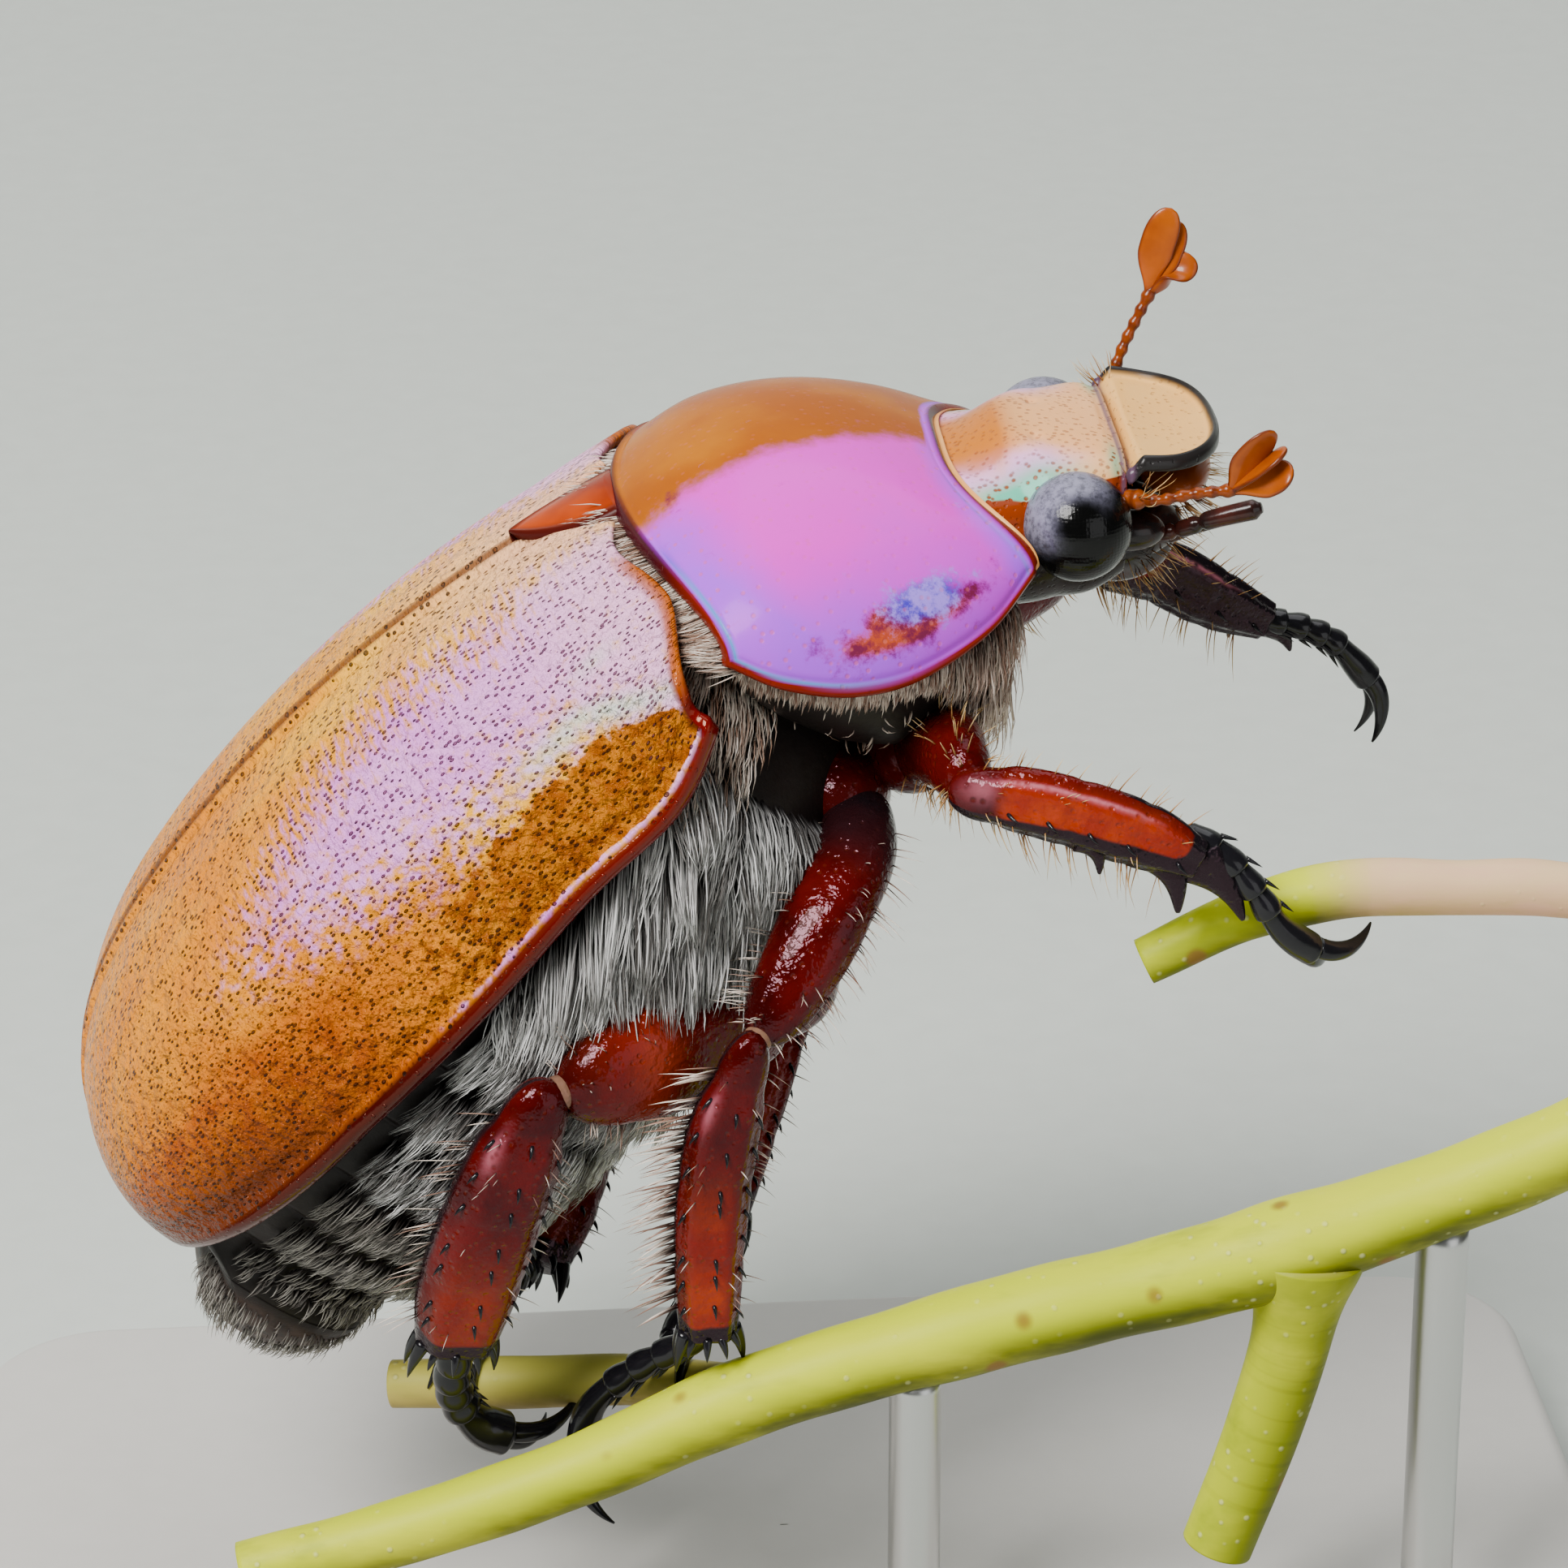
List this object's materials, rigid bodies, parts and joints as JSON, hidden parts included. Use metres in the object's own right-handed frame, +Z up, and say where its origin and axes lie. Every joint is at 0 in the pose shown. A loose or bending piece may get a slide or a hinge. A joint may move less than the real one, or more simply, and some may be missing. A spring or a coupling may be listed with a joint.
{
  "type": "christmas beetle model",
  "caption": "Life-size model of a christmas beetle climbing a forked twig, held by a plain base with thin rods, for display or as a scene prop.",
  "frame": {"origin": "middle of the stand's underside, on the surface it rests on", "axes": "+X the way the beetle faces, +Y to its left, +Z up; the beetle's middle plane is y = 0"},
  "size_m": [0.0367, 0.021, 0.0319],
  "materials": {
    "case": "glossy amber shell with a pearly pink sheen and small dark pits",
    "shield": "glossy orange to violet-pink shell with a pearly sheen",
    "leg": "glossy mahogany red",
    "foot": "glossy black",
    "eye": "dark grey, finely faceted, wet-looking",
    "club": "orange-brown, half clear",
    "coat": "dense silver-cream hair over black",
    "twig": "smooth yellow-green bark",
    "stand": "satin off-white",
    "rod": "satin metal"
  },
  "bodies": {
    "root": {"abdomen": "coat", "antenna_left": "club", "antenna_right": "club", "clypeus": "shield", "coxa_front_left": "leg", "coxa_front_right": "leg", "coxa_hind_left": "leg", "coxa_hind_right": "leg", "coxa_middle_left": "leg", "coxa_middle_right": "leg", "eye_left": "eye", "eye_right": "eye", "femur_front_left": "leg", "femur_front_right": "leg", "femur_hind_left": "leg", "femur_hind_right": "leg", "femur_middle_left": "leg", "femur_middle_right": "leg", "head": "shield", "labrum": "club", "mouthparts": "foot", "palp_left": "foot", "palp_right": "foot", "perch_front_twig": "twig", "perch_rear_twig": "twig", "perch_side_shoot": "twig", "perch_stem": "twig", "pronotum": "shield", "prosternum": "coat", "pygidium": "coat", "scutellum": "shield", "stand_base": "stand", "stand_rod_front": "rod", "stand_rod_rear": "rod", "tarsus_front_left": "foot", "tarsus_front_right": "foot", "tarsus_hind_left": "foot", "tarsus_hind_right": "foot", "tarsus_middle_left": "foot", "tarsus_middle_right": "foot", "thorax": "coat", "tibia_front_left": "leg", "tibia_front_right": "leg", "tibia_hind_left": "leg", "tibia_hind_right": "leg", "tibia_middle_left": "leg", "tibia_middle_right": "leg", "wing_case_left": "case", "wing_case_right": "case"}
  },
  "joints": []
}
